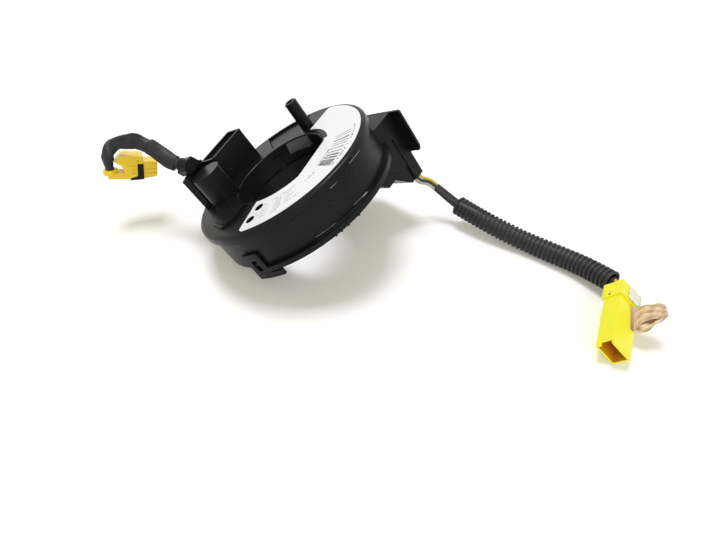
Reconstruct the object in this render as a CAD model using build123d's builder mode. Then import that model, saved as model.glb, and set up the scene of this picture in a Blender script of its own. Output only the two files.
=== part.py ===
from build123d import *
from math import cos, pi, radians, sin, sqrt
import os

os.makedirs("parts", exist_ok=True)

# Steering clock spring, millimetres and degrees.
# +Z is the steering axis, the rotor face looks up, the base plate's underside is at Z 0.

# ---- driving dimensions: ring ----
ring_h = 25.0          # base plate underside to rotor face
cap_r = 54.0           # outer radius of the rotor cap
cap_t = 2.6            # plate of the rotor cap
cap_round = 2.2        # rounding of the cap's outer edge
skirt_h = 5.0          # rotor face down to the skirt's lower edge
skirt_t = 1.3
bore_r = 27.5          # column bore through the rotor
hub_t = 1.9
mid_r = (cap_r + bore_r) / 2   # middle of the rotor face
case_t = 2.0
base_t = 2.8
base_flange_r = cap_r + 1.2
base_relief = 1.8      # depth under the collar for the rotor sleeve's flange
collar_t = 1.6
collar_h = 8.0
turn_gap = 0.4         # between turning and fixed walls
run_fit = 0.06         # radial clearance of the hub in the collar
seat_fit = 0.05        # clearance between seated fixed pieces
case_foot = 1.2        # height of the case wall's foot above the base plane
case_step = 0.6        # how far the front band of the wall stands proud

# ---- driving dimensions: rotor lower sleeve ----
sleeve_t = 1.5
sleeve_top = 13.0
sleeve_flange_r = bore_r + 5.1
sleeve_flange_t = 1.1
lug_az = 49.0          # cancel lug inside the bore
lug_half = 17.0        # half its angle
lug_reach = 3.0
lug_t = 5.6
lug_top = 24.2
lug_slope = 4.4        # height of its sloping face
lug_foot = 3.0
snap_az = [85.0, 205.0, 325.0]
snap_half = 4.0
snap_z = 20.0
snap_catch = 0.9
finger_back = 0.4      # the fingers stand back from the bore by this much

# ---- driving dimensions: tower on the rotor ----
tower_az = 127.0       # direction of the tower's outward face
tower_in = mid_r - 7.75        # distance of the tower's inner face from the axis
tower_d = 12.3
tower_right = 19.9     # reach of the tower to its right and left of that direction
tower_left = 8.2
tower_h = 19.2
tower_t = 1.3
header_depth = 13.7
pin_pitch = 2.4
pin_count = 10
slot_u, slot_v = 0.0, tower_in + 3.6   # slot through the plate for the tape's inner terminal
slot_l, slot_w = 10.0, 3.0
turret_r = 8.6         # round wire turret beside the tower
turret_az = 158.7
turret_dist = mid_r - 5.05
step_r = cap_r - 9.0          # edge of the raised step round the turret
step_low_r = cap_r - 7.0
step_h = 0.9
step_from, step_to = 118.0, 213.0
step_round = 7.0
guard_in, guard_out = cap_r - 6.4, cap_r - 2.6
guard_from, guard_to = 133.0, 156.5
guard_h = 19.6
turret_h = 18.5

# ---- driving dimensions: drive pin ----
post_az = 41.0
post_dist = mid_r - 5.05
post_r = 3.6
post_bore = 2.3
post_h = 17.5
post_depth = 9.0

# ---- driving dimensions: label ----
label_from, label_to = -133.5, 31.5
label_out = cap_r - 2.5
label_in = bore_r + 1.4
label_in_pin = bore_r + 3.7    # inner radius beside the drive pin
label_t = 0.2
label_pin_from = -17.0
flat_az = -51.4        # the lip that fills one side of the bore
flat_dist = bore_r - 2.9
lip_plate_t = 1.4
lip_margin = 0.6       # the film stops this far inside the lip's edge
window_r = 2.5
windows = [(mid_r - 5.75, -125.1), (mid_r + 2.85, -128.2)]

recess_from, recess_to = 48.0, 84.0
recess_in, recess_out, recess_d = bore_r + 3.5, cap_r - 3.5, 1.2

# ---- driving dimensions: base flange and snap legs ----
flange_from, flange_to = 230.0, 350.6
leg_az = [223.2, 119.0, 52.0]
leg_arc = 11.3
leg_t = 1.7
leg_top = 12.0
leg_drop = 5.0
leg_window_arc = 3.6
leg_window_z0, leg_window_z1 = 0.6, 7.6
tooth_az = [271.5, 275.0, 279.5, 286.8]
tooth_t = 1.1
bead_from, bead_to = 262.0, 304.0
bead_t, bead_h = 0.9, 1.0

peg_az, peg_dist, peg_r, peg_h = 80.0, cap_r - 11.0, 2.0, 3.0

# ---- driving dimensions: case wall ----
band_from, band_to = 220.4, 64.0   # the wall is stepped back from 64 to 220.4 degrees
lip_z, lip_t, lip_out = 18.9, 0.55, 0.5
foot_gap = 0.3         # degrees, either side of what the foot clears
pad_az, pad_arc, pad_z, pad_h, pad_out = 279.7, 4.8, 8.5, 5.0, 0.35
term_from, term_to = 5.0, 19.0
term_gap = 0.2         # degrees
term_z0, term_z1 = 4.6, 9.6
term_in, term_t = cap_r - 6.4, 2.6

# ---- driving dimensions: rear housing ----
box_az = 28.0          # outward direction of the rear housing
box_front = 31.4       # its near side, measured along the ring's tangent
box_w = 36.0
box_top = 11.2
box_out = cap_r + 3.8
box_low_out = cap_r + 3.0
term_out = box_out - 1.2
box_step_z = -16.0
box_bottom = -30.5
box_foot_in = cap_r - 7.0
box_under_in = cap_r / 2
box_under_z = -15.0
cover_t = 1.6
cover_front = 38.7
cover_w = 48.0
panel_x0, panel_z0 = 36.8, -14.0
panel_x1, panel_z1 = 43.5, -20.0
panel_x2, panel_step, groove_w = 49.3, 1.2, 0.7
socket_w, socket_l, socket_depth = 5.6, 22.0, 14.0
socket_tan = 8.0       # socket centre along the ring's tangent, towards the near side
rear_pin_cols = 8
pin_clear = 5.0        # from the socket's mouth to the pin tips
blade_t, blade_w = 0.64, 1.2
exit_out, exit_tan = cap_r - 0.4, 28.5

# ---- driving dimensions: wires ----
wire_r = 0.8
wire_pitch = 2.1
wire_seat = 1.0

# ---- driving dimensions: flat tape ----
tape_from = 127.0
tape_sweep = 3125.0    # degrees wound, a little under nine turns
tape_t = 0.25
tape_h = 15.0
tape_start_gap = 2.14  # from the collar to the innermost turn

tongue_half = 5.0      # half the angle of the inner terminal

# ---- driving dimensions: header comb, pigtail and squib plug ----
comb_h = 12.0
comb_slot_w, comb_slot_l, comb_slot_d = 1.3, 6.4, 9.0
clamp_back, clamp_d, clamp_top, clamp_boss = cap_r - 3.4, 7.9, 26.4, 4.0
lead_back, lead_side, lead_h = 1.06, 15.9, 25.1   # where the pigtail leaves the clamp
clamp_left, clamp_bevel = -20.5, 3.3
boss_wall = 0.8
pigtail_r = 3.3
plug_from_lead = (-25.2, 20.0, 10.5)
plug_cos, plug_sin = 0.868, 0.496
rib_w = 0.6
plug_d, plug_proud = 11.5, 0.6
plug_boot = 2.6

# ---- driving dimensions: harness and airbag connector ----
wrap_r = 3.0
conduit_r, conduit_bore = 5.8, 4.4
lead_r = 0.8
plug_w, plug_h, plug_l = 8.8, 13.5, 39.7   # airbag connector
plug_wall = 0.9
plug_socket = 13.0
key_x, key_w, key_d = 0.9, 5.4, 2.2   # notch in the mouth's edge
retainer_z, retainer_l, retainer_t = 17.0, 6.0, 1.2
contact_pitch, contact_w, contact_h, contact_l = 4.2, 2.2, 2.6, 10.0
collar_l, collar_out_t = 9.2, 0.9
plug_from_exit = (7.12, -130.74, -66.51)
plug_axis = (-0.7317, -0.6777, 0.0728)
plug_side = (0.6656, -0.6874, 0.2906)
flag_t, flag_film, flag_patch_l, flag_patch_w, flag_z = 2.6, 0.4, 12.0, 8.0, 24.2
flag_cos, flag_sin = 0.8, 0.6

# ---- directions ----
def unit(az):
    return Vector(cos(radians(az)), sin(radians(az)), 0)


def radial_plane(az, z=0.0, out=0.0):
    """Plane with X outward along az and Y up, so that a profile revolves about Z."""
    origin = unit(az) * out + Vector(0, 0, z)
    return Plane(origin=origin, x_dir=unit(az), z_dir=unit(az - 90))


def run_from(place, offsets):
    """Route points at these distances from a place."""
    return [place + Vector(*offset) for offset in offsets]


def level_plane(az, z):
    """Plane looking up at height z, with X along az and Y to its left."""
    return Plane(origin=(0, 0, z), x_dir=unit(az), z_dir=(0, 0, 1))


case_r = cap_r - skirt_t - turn_gap
case_in = case_r - case_t
hub_r = bore_r + hub_t
collar_in = hub_r + run_fit
collar_out = collar_in + collar_t
tape_start_r = collar_out + tape_start_gap
tape_pitch = (term_in - tape_start_r) * 360 / tape_sweep
cap_under = ring_h - cap_t
skirt_low = ring_h - skirt_h
case_top = cap_under - turn_gap
relief_r = sleeve_flange_r + 2 * turn_gap
tower = level_plane(tower_az - 90, ring_h)
hub_low = sleeve_flange_t
lead_at = (unit(tower_az) * (clamp_back - lead_back) - unit(tower_az - 90) * lead_side
           + Vector(0, 0, ring_h + lead_h))
plug_at = lead_at + Vector(*plug_from_lead)
exit_at = (unit(box_az) * exit_out + unit(box_az - 90) * exit_tan
           + Vector(0, 0, box_bottom + wire_seat))
plug_front = exit_at + Vector(*plug_from_exit)
socket_u = (tower_right - tower_left) / 2
header_l = tower_right + tower_left - 2 * tower_t

# ---- base cover: floor plate, bearing collar, flange and snap legs ----
base_r = case_in - seat_fit
leg_in = case_r + 2 * seat_fit
leg_out = leg_in + leg_t

with BuildPart() as base_cover:
    with BuildSketch(radial_plane(0)):
        with BuildLine():
            Polyline(
                (relief_r, 0), (base_r, 0), (base_r, base_t), (collar_out, base_t),
                (collar_out, collar_h), (collar_in, collar_h), (collar_in, base_relief),
                (relief_r, base_relief), close=True,
            )
        make_face()
    revolve(axis=Axis.Z)
    with BuildSketch(radial_plane(flange_from)):
        with Locations(((base_r - 1 + base_flange_r) / 2, base_t / 2)):
            Rectangle(base_flange_r - base_r + 1, base_t)
    revolve(axis=Axis.Z, revolution_arc=flange_to - flange_from)
    for az in leg_az:
        with BuildSketch(radial_plane(az - leg_arc / 2)):
            with Locations(((leg_in + leg_out) / 2, (leg_top - leg_drop) / 2)):
                Rectangle(leg_t, leg_top + leg_drop)
            with Locations(((base_r - 1 + leg_out) / 2, base_t / 2)):
                Rectangle(leg_out - base_r + 1, base_t)
        revolve(axis=Axis.Z, revolution_arc=leg_arc)
        with BuildSketch(radial_plane(az + leg_arc / 2)):
            with BuildLine():
                Polyline(
                    (leg_in, -leg_drop), (leg_out, -leg_drop), (leg_out, 1 - leg_drop / 2),
                    (leg_in, 1 - leg_drop / 2), close=True,
                )
            make_face()
        revolve(axis=Axis.Z, revolution_arc=leg_arc * 0.65)
        with BuildSketch(radial_plane(az - leg_window_arc / 2)):
            with Locations((leg_out, (leg_window_z0 + leg_window_z1) / 2)):
                Rectangle(2 * leg_t + 0.8, leg_window_z1 - leg_window_z0)
        revolve(axis=Axis.Z, revolution_arc=leg_window_arc, mode=Mode.SUBTRACT)
    for az in tooth_az:
        with BuildSketch(Plane.XY):
            with Locations(Location((0, 0, 0), (0, 0, az))):
                with Locations((base_flange_r, 0)):
                    Rectangle(2 * tooth_t, tooth_t)
        extrude(amount=base_t / 2)
    # bead that stands on the flange outside the wall
    with BuildSketch(radial_plane(bead_from)):
        with Locations((case_r + seat_fit + bead_t / 2, base_t + bead_h / 2)):
            Rectangle(bead_t, bead_h)
    revolve(axis=Axis.Z, revolution_arc=bead_to - bead_from)
    # locating pegs for the switch housing that the clock spring clips on
    with BuildSketch(Plane.XY):
        with PolarLocations(peg_dist, 2, start_angle=peg_az):
            Circle(peg_r)
    extrude(amount=-peg_h)
base_cover.part.label = "base_cover"
export_step(base_cover.part, "parts/base_cover.step")

# ---- stator case: outer wall with its dust lip and the opening for the tape terminal ----
with BuildPart() as stator_case:
    with BuildSketch(radial_plane(0)):
        with BuildLine():
            Polyline(
                (case_in, case_foot), (case_r, case_foot), (case_r, lip_z),
                (case_r + lip_out, lip_z + 0.1), (case_r + lip_out, lip_z + lip_t),
                (case_r, lip_z + lip_t + 0.1), (case_r, case_top), (case_in, case_top),
                close=True,
            )
        make_face()
    revolve(axis=Axis.Z)
    # the wall steps back outside the front band
    with BuildSketch(radial_plane(band_to)):
        with Locations((case_r - case_step + 2, lip_z / 2)):
            Rectangle(4, lip_z)
    revolve(axis=Axis.Z, revolution_arc=band_from - band_to, mode=Mode.SUBTRACT)
    # foot cut away over the base flange and over the snap legs' roots
    with BuildSketch(radial_plane(flange_from - foot_gap)):
        with Locations(((case_in + case_r) / 2, 0)):
            Rectangle(3 * case_t, 2 * base_t)
    revolve(axis=Axis.Z, revolution_arc=flange_to - flange_from + 2 * foot_gap,
            mode=Mode.SUBTRACT)
    for az in leg_az:
        with BuildSketch(radial_plane(az - leg_arc / 2 - foot_gap)):
            with Locations(((case_in + case_r) / 2, 0)):
                Rectangle(3 * case_t, 2 * base_t)
        revolve(axis=Axis.Z, revolution_arc=leg_arc + 2 * foot_gap, mode=Mode.SUBTRACT)
        # nub that holds the leg's window
        with BuildSketch(radial_plane(az - leg_window_arc / 4)):
            with BuildLine():
                Polyline(
                    (case_r - 1, base_t + 0.4), (leg_in + 0.6 * leg_t, base_t + 1.2),
                    (leg_in + 0.6 * leg_t, base_t + 2.6), (case_r - 1, base_t + 4.2), close=True,
                )
            make_face()
        revolve(axis=Axis.Z, revolution_arc=leg_window_arc / 2)
    with BuildSketch(radial_plane(term_from - term_gap)):
        with Locations(((case_in + case_r) / 2, (term_z0 + term_z1) / 2)):
            Rectangle(3 * case_t, term_z1 - term_z0 + 2 * seat_fit)
    revolve(axis=Axis.Z, revolution_arc=term_to - term_from + 2 * term_gap,
            mode=Mode.SUBTRACT)
    # small raised pad low on the front of the wall
    with BuildSketch(radial_plane(pad_az)):
        with Locations((case_r, pad_z)):
            Rectangle(2 * pad_out, pad_h)
    revolve(axis=Axis.Z, revolution_arc=pad_arc)
stator_case.part.label = "stator_case"
export_step(stator_case.part, "parts/stator_case.step")

# ---- rear housing: connector box that hangs below the ring ----
box_plane = radial_plane(box_az).offset(box_front)
socket_out = (box_foot_in + box_low_out) / 2

with BuildPart() as rear_housing:
    with BuildSketch(box_plane):
        with BuildLine():
            Polyline(
                (box_under_in + 8, box_top), (box_out, box_top), (box_out, box_step_z),
                (box_low_out, box_step_z), (box_low_out, box_bottom),
                (box_foot_in, box_bottom), (box_foot_in - 9.5, box_bottom + 10.5),
                (box_under_in + 4, box_bottom + 10.5), (box_under_in, box_under_z),
                (box_under_in, 0), (box_under_in + 8, 0), close=True,
            )
        make_face()
    extrude(amount=-box_w)
    # lower part of the near side set back below the panel edge
    with BuildSketch(box_plane):
        with BuildLine():
            Polyline(
                (box_under_in - 1, -0.5), (box_under_in + 1, -6), (panel_x0, panel_z0),
                (panel_x1, panel_z1), (panel_x2, panel_z1 + 1), (panel_x2, -1),
                (panel_x2 + groove_w, -1), (panel_x2 + groove_w, box_bottom - 1),
                (box_under_in - 1, box_bottom - 1), close=True,
            )
        make_face()
    extrude(amount=-panel_step, mode=Mode.SUBTRACT)
    with BuildSketch(Plane.XY):
        Circle(case_r)
    extrude(amount=box_top + 1, mode=Mode.SUBTRACT)
    with BuildSketch(Plane.XY.offset(box_bottom - 1)):
        Circle(relief_r + 1.4)
    extrude(amount=-box_bottom + 2, mode=Mode.SUBTRACT)
    # pocket for the tape terminal
    with BuildSketch(radial_plane(term_from - term_gap)):
        with Locations((case_r, (term_z0 + term_z1) / 2)):
            Rectangle(2 * (term_out - case_r + seat_fit), term_z1 - term_z0 + 2 * seat_fit)
    revolve(axis=Axis.Z, revolution_arc=term_to - term_from + 2 * term_gap,
            mode=Mode.SUBTRACT)
    # socket open downwards
    with BuildSketch(level_plane(box_az, box_bottom)):
        with Locations((socket_out, -socket_tan)):
            RectangleRounded(socket_w, socket_l, 0.8)
    extrude(amount=socket_depth, mode=Mode.SUBTRACT)
    # seats for the three wires under the near corner
    with BuildSketch(level_plane(box_az, box_bottom)):
        with Locations((exit_out, -exit_tan)):
            with GridLocations(wire_pitch, 1, 3, 1):
                Circle(wire_r + seat_fit)
    extrude(amount=wire_seat, mode=Mode.SUBTRACT)
rear_housing.part.label = "rear_housing"
export_step(rear_housing.part, "parts/rear_housing.step")

# ---- rear cover: end plate of the rear housing ----
with BuildPart() as rear_cover:
    with BuildSketch(Plane(origin=unit(box_az) * box_out, x_dir=unit(box_az + 90),
                           z_dir=unit(box_az))):
        with BuildLine():
            Polyline(
                (-cover_front + 1.5, box_step_z), (cover_w - cover_front, box_step_z),
                (cover_w - cover_front, box_top), (-cover_front + 0.8, box_top),
                (-cover_front, box_top - 0.8), (-cover_front, box_step_z + 3), close=True,
            )
        make_face()
    extrude(amount=cover_t)
rear_cover.part.label = "rear_cover"
export_step(rear_cover.part, "parts/rear_cover.step")

# ---- rear header pins ----
with BuildPart() as rear_pins:
    with BuildSketch(level_plane(box_az, box_bottom + socket_depth)):
        with Locations((socket_out, -socket_tan)):
            with GridLocations(0, pin_pitch, 1, rear_pin_cols):
                Rectangle(blade_t, blade_w)
    extrude(amount=pin_clear - socket_depth)
rear_pins.part.label = "rear_pins"
export_step(rear_pins.part, "parts/rear_pins.step")

# ---- stator terminal: moulded block that holds the tape's outer end ----
tape_z0 = base_t + 1.6
with BuildPart() as stator_terminal:
    with BuildSketch(radial_plane(term_from)):
        with BuildLine():
            Polyline(
                (term_in, tape_z0), (term_in + term_t, tape_z0), (term_in + term_t, term_z0),
                (term_out, term_z0), (term_out, term_z1), (term_in + term_t, term_z1),
                (term_in + term_t, tape_z0 + tape_h), (term_in, tape_z0 + tape_h), close=True,
            )
        make_face()
    revolve(axis=Axis.Z, revolution_arc=term_to - term_from)
stator_terminal.part.label = "stator_terminal"
export_step(stator_terminal.part, "parts/stator_terminal.step")

# ---- flat tape: wound loosely in half circles that step outwards every half turn ----
def tape_arcs(radius_shift):
    """Half circles of the tape's wall, shifted in or out by the given distance."""
    arcs = []
    centre = Vector(0, 0, 0)
    radius, start, left = tape_start_r, tape_from, tape_sweep
    while left > 0.01:
        sweep = min(180.0, left)
        arcs.append((centre, radius + radius_shift, start, sweep))
        start, left = start + sweep, left - sweep
        centre = centre - unit(start) * (tape_pitch / 2)
        radius = radius + tape_pitch / 2
    return arcs


with BuildPart() as flat_tape:
    with BuildSketch(Plane.XY.offset(tape_z0)):
        with BuildLine():
            inner = [CenterArc(c, r, a, s) for c, r, a, s in tape_arcs(-tape_t / 2)]
            outer = [CenterArc(c, r, a, s) for c, r, a, s in tape_arcs(tape_t / 2)]
            Line(inner[0] @ 0, outer[0] @ 0)
            Line(inner[-1] @ 1, outer[-1] @ 1)
        make_face()
    extrude(amount=tape_h)
flat_tape.part.label = "flat_tape"
export_step(flat_tape.part, "parts/flat_tape.step")

# ---- rotor cap: turning plate with its hub, skirt, tower, turret, guard and drive post ----
cap_in = cap_r - skirt_t
with BuildPart() as rotor_cap:
    with BuildSketch(radial_plane(0)):
        with BuildLine():
            Polyline(
                (bore_r, hub_low), (hub_r, hub_low), (hub_r, cap_under), (cap_in, cap_under),
                (cap_in, skirt_low), (cap_r, skirt_low), (cap_r, ring_h - cap_round),
                (cap_r - 0.35, ring_h - 0.9), (cap_r - 1.1, ring_h - 0.25),
                (cap_r - cap_round, ring_h), (bore_r + 0.4, ring_h), (bore_r, ring_h - 0.4),
                close=True,
            )
        make_face()
    revolve(axis=Axis.Z)
    # flat lip that closes a segment of the bore at the rotor face
    with BuildSketch(level_plane(flat_az, ring_h - lip_plate_t)):
        with BuildLine():
            half = sqrt(bore_r**2 - flat_dist**2) + 0.6
            Polyline((flat_dist, -half), (flat_dist, half), (bore_r + 0.9, half),
                     (bore_r + 0.9, -half), close=True)
        make_face()
        with Locations((0, 0)):
            Circle(bore_r + 0.9, mode=Mode.INTERSECT)
    extrude(amount=lip_plate_t)
    # shallow recess in the far part of the face
    with BuildSketch(radial_plane(recess_from)):
        with Locations(((recess_in + recess_out) / 2, ring_h)):
            Rectangle(recess_out - recess_in, 2 * recess_d)
    revolve(axis=Axis.Z, revolution_arc=recess_to - recess_from, mode=Mode.SUBTRACT)
    # bead groove outside the label
    with BuildSketch(radial_plane(label_from)):
        with Locations((label_out + 0.55, ring_h)):
            Rectangle(0.5, 0.6)
    revolve(axis=Axis.Z, revolution_arc=label_to - label_from, mode=Mode.SUBTRACT)
    # two steps that rise towards the turret
    with BuildSketch(radial_plane(step_from)):
        with Locations(((step_low_r + hub_r) / 2, ring_h + step_h / 2 - 0.1)):
            Rectangle(step_low_r - hub_r, step_h + 0.2)
        with Locations(((step_r + hub_r + 1.5) / 2, ring_h + step_h)):
            Rectangle(step_r - hub_r - 1.5, 2 * step_h)
    revolve(axis=Axis.Z, revolution_arc=step_to - step_from)
    # their outer front corner is rounded off
    with BuildSketch(level_plane(step_to, ring_h)):
        with Locations((step_low_r - step_round / 2, -step_round / 2)):
            Rectangle(step_round + 2, step_round + 2)
        with Locations((step_low_r - step_round - 1, -step_round - 1)):
            Circle(step_round + 1, mode=Mode.SUBTRACT)
    extrude(amount=3 * step_h, mode=Mode.SUBTRACT)
    # guard wall round the outside
    with BuildSketch(radial_plane(guard_from)):
        with Locations(((guard_in + guard_out) / 2, ring_h + guard_h / 2 - 0.5)):
            Rectangle(guard_out - guard_in, guard_h + 1)
    revolve(axis=Axis.Z, revolution_arc=guard_to - guard_from)
    # turret
    with BuildSketch(Plane.XY.offset(ring_h - 0.5)):
        with Locations(unit(turret_az) * turret_dist):
            Circle(turret_r)
    extrude(amount=turret_h + 0.5)
    # connector tower
    with BuildSketch(tower.offset(-0.5)):
        with BuildLine():
            Polyline(
                (1.6 - tower_left, tower_in), (tower_right - 0.8, tower_in),
                (tower_right, tower_in + 0.8), (tower_right, tower_in + tower_d),
                (-tower_left, tower_in + tower_d), (-tower_left, tower_in + 1.6), close=True,
            )
        make_face()
    extrude(amount=tower_h + 0.5)
    # saddle wall that joins tower, turret and guard
    with BuildSketch(tower.offset(-0.5)):
        with BuildLine():
            Polyline((-tower_left + 1, tower_in + 4), (-tower_left + 1, tower_in + 11.5),
                     (-16, tower_in + 9.5), (-22, tower_in + 6), (-20, tower_in - 1), close=True)
        make_face()
    extrude(amount=tower_h - 2.5 + 0.5)
    # open header socket in the tower's top
    with BuildSketch(tower.offset(tower_h)):
        with Locations((socket_u, tower_in + tower_d / 2)):
            RectangleRounded(header_l, tower_d - 2 * tower_t, 0.6)
    extrude(amount=-header_depth, mode=Mode.SUBTRACT)
    # slot through the plate for the tape's inner terminal
    with BuildSketch(tower.offset(-cap_t - 1)):
        with Locations((slot_u, slot_v)):
            Rectangle(slot_l + 2 * seat_fit, slot_w + 2 * seat_fit)
    extrude(amount=tower_h - header_depth + cap_t + 1.5, mode=Mode.SUBTRACT)
    # drive post
    with BuildSketch(Plane.XY.offset(ring_h - 0.5)):
        with Locations(unit(post_az) * post_dist):
            Circle(post_r)
    extrude(amount=post_h + 0.5)
    chamfer(rotor_cap.faces().filter_by(GeomType.PLANE).filter_by_position(
        Axis.Z, ring_h + post_h - 0.01, ring_h + post_h + 0.01).edges(), length=0.5)
    with BuildSketch(Plane.XY.offset(ring_h + post_h)):
        with Locations(unit(post_az) * post_dist):
            Circle(post_bore)
    extrude(amount=-post_depth, mode=Mode.SUBTRACT)
    # cancelling lug inside the hub
    with BuildSketch(radial_plane(lug_az - lug_half)):
        with BuildLine():
            Polyline(
                (hub_r - 0.3, lug_top), (bore_r - 0.4, lug_top),
                (bore_r - lug_reach, lug_top - lug_slope), (bore_r - lug_reach, lug_top - lug_t),
                (hub_r - 0.3, lug_top - lug_t), close=True,
            )
        make_face()
    revolve(axis=Axis.Z, revolution_arc=2 * lug_half)
    # its far end reaches lower
    with BuildSketch(radial_plane(lug_az + lug_half * 0.55)):
        with Locations((bore_r - lug_reach / 3, lug_top - lug_t)):
            Rectangle(lug_reach, lug_foot)
    revolve(axis=Axis.Z, revolution_arc=lug_half * 0.45)
    # index windows, through which the wound tape is seen
    with BuildSketch(Plane.XY.offset(ring_h)):
        for dist, az in windows:
            with Locations(unit(az) * dist):
                Circle(window_r)
    extrude(amount=-cap_t, mode=Mode.SUBTRACT)
    # slots in the hub for the snap fingers of the sleeve
    for az in snap_az:
        with BuildSketch(radial_plane(az - snap_half - 0.6)):
            with Locations((bore_r, snap_z)):
                Rectangle(2 * snap_catch + 0.2, 2.2)
        revolve(axis=Axis.Z, revolution_arc=2 * snap_half + 1.2, mode=Mode.SUBTRACT)
rotor_cap.part.label = "rotor_cap"
export_step(rotor_cap.part, "parts/rotor_cap.step")

# ---- rotor sleeve: carries the rotor in the base collar and snaps up into the hub ----
sleeve_r = bore_r - seat_fit
sleeve_in = sleeve_r - sleeve_t
finger_in = sleeve_in + finger_back
with BuildPart() as rotor_sleeve:
    with BuildSketch(radial_plane(0)):
        with BuildLine():
            Polyline(
                (sleeve_in, 0), (sleeve_flange_r, 0), (sleeve_flange_r, sleeve_flange_t),
                (sleeve_r, sleeve_flange_t), (sleeve_r, sleeve_top - 0.5),
                (sleeve_r - 0.5, sleeve_top), (sleeve_in, sleeve_top), close=True,
            )
        make_face()
    revolve(axis=Axis.Z)
    for az in snap_az:
        with BuildSketch(radial_plane(az - snap_half)):
            with BuildLine():
                Polyline(
                    (finger_in, sleeve_top - sleeve_t), (sleeve_r, sleeve_top - sleeve_t),
                    (sleeve_r, snap_z - snap_catch), (sleeve_r + snap_catch, snap_z - snap_catch),
                    (sleeve_r, snap_z + snap_catch), (finger_in, snap_z + snap_catch),
                    close=True,
                )
            make_face()
        revolve(axis=Axis.Z, revolution_arc=2 * snap_half)
rotor_sleeve.part.label = "rotor_sleeve"
export_step(rotor_sleeve.part, "parts/rotor_sleeve.step")

# ---- label: bare film on the rotor face ----
with BuildPart() as face_label:
    with BuildSketch(radial_plane(label_from)):
        with Locations(((label_in + label_out) / 2, ring_h + label_t / 2)):
            Rectangle(label_out - label_in, label_t)
    revolve(axis=Axis.Z, revolution_arc=label_to - label_from)
    # the film also covers the lip that closes a segment of the bore
    with BuildSketch(level_plane(flat_az, ring_h)):
        with Locations((label_in, 0)):
            Rectangle(2 * (label_in - flat_dist - lip_margin), 2 * label_in)
        Circle(label_in + label_t, mode=Mode.INTERSECT)
    extrude(amount=label_t)
    with BuildSketch(radial_plane(label_pin_from)):
        with Locations((label_in_pin - 2, ring_h)):
            Rectangle(4, 1)
    revolve(axis=Axis.Z, revolution_arc=label_to - label_pin_from, mode=Mode.SUBTRACT)
    with BuildSketch(Plane.XY.offset(ring_h - 0.5)):
        for dist, az in windows:
            with Locations(unit(az) * dist):
                Circle(window_r + 0.05)
    extrude(amount=1, mode=Mode.SUBTRACT)
    outer_ends = face_label.edges().filter_by(Axis.Z).sort_by(
        lambda e: e.center().X**2 + e.center().Y**2)[-2:]
    fillet(outer_ends, radius=3.0)
face_label.part.label = "face_label"
export_step(face_label.part, "parts/face_label.step")

# ---- header insert and pins in the tower ----
header_floor = tower_h - header_depth
with BuildPart() as header_insert:
    with BuildSketch(tower.offset(header_floor)):
        with Locations((socket_u, tower_in + tower_d / 2)):
            RectangleRounded(header_l - 2 * seat_fit, tower_d - 2 * tower_t - 2 * seat_fit, 0.6)
    extrude(amount=comb_h)
    with BuildSketch(tower.offset(header_floor + comb_h)):
        with Locations((socket_u, tower_in + tower_d / 2)):
            with GridLocations(pin_pitch, 1, pin_count, 1):
                Rectangle(comb_slot_w, comb_slot_l)
    extrude(amount=-comb_slot_d, mode=Mode.SUBTRACT)
header_insert.part.label = "header_insert"
export_step(header_insert.part, "parts/header_insert.step")

with BuildPart() as header_pins:
    with BuildSketch(tower.offset(header_floor + comb_h - comb_slot_d)):
        with Locations((socket_u, tower_in + tower_d / 2)):
            with GridLocations(pin_pitch, 1, pin_count, 1):
                Rectangle(blade_t, blade_w)
    extrude(amount=comb_slot_d - 1.5)
header_pins.part.label = "header_pins"
export_step(header_pins.part, "parts/header_pins.step")

# ---- rotor terminal: holds the tape's inner end and rises into the tower ----
tongue_out = tape_start_r - tape_t / 2
tongue_in = collar_out + turn_gap
shelf_low = tape_z0 + tape_h + turn_gap
with BuildPart() as rotor_terminal:
    with BuildSketch(radial_plane(tape_from - tongue_half)):
        with Locations(((tongue_in + tongue_out) / 2, (tape_z0 + cap_under) / 2)):
            Rectangle(tongue_out - tongue_in, cap_under - tape_z0)
        with Locations(((tongue_in + slot_v + slot_w / 2) / 2, (shelf_low + cap_under) / 2)):
            Rectangle(slot_v + slot_w / 2 - tongue_in, cap_under - shelf_low)
    revolve(axis=Axis.Z, revolution_arc=2 * tongue_half)
    with BuildSketch(tower.offset(-cap_t)):
        with Locations((slot_u, slot_v)):
            Rectangle(slot_l, slot_w)
    extrude(amount=header_floor + cap_t)
rotor_terminal.part.label = "rotor_terminal"
export_step(rotor_terminal.part, "parts/rotor_terminal.step")

# ---- pigtail of the driver airbag lead: sleeve on a bent path, out of a wire clamp ----
pigtail_path = run_from(lead_at, [
    (0.0, 0.0, 0.0), (-3.3, 3.5, 3.0), (-4.8, 7.0, 8.1), (-7.2, 11.0, 14.0),
    (-10.0, 14.0, 18.6), (-14.8, 17.5, 22.9), (-22.2, 21.0, 27.1), (-30.9, 23.0, 24.9),
    (-35.2, 23.0, 17.0),
])


def run_radii(points, share=0.45):
    """Largest arcs that the straight runs of a cord's route leave room for."""
    runs = [Vector(b) - Vector(a) for a, b in zip(points, points[1:])]
    radii = []
    for before, after in zip(runs, runs[1:]):
        turn = radians(before.get_angle(after))
        radii.append(share * min(before.length, after.length) / (turn and sin(turn / 2) / cos(turn / 2)))
    return radii


def cord_report(name, points, radii, part, area):
    length = FilletPolyline(*points, radius=radii, mode=Mode.PRIVATE).length
    print(name, "length", round(length, 1), "volume ratio", round(part.volume / (area * length), 4),
          "radii", [round(r, 1) for r in radii])


def cord_start(points):
    """Plane at a cord's first point, looking along its first run."""
    return Plane(origin=points[0], z_dir=Vector(points[1]) - Vector(points[0]))


def cord_end(points):
    """Plane at a cord's last point, looking on along its last run."""
    return Plane(origin=points[-1], z_dir=Vector(points[-1]) - Vector(points[-2]))


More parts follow.
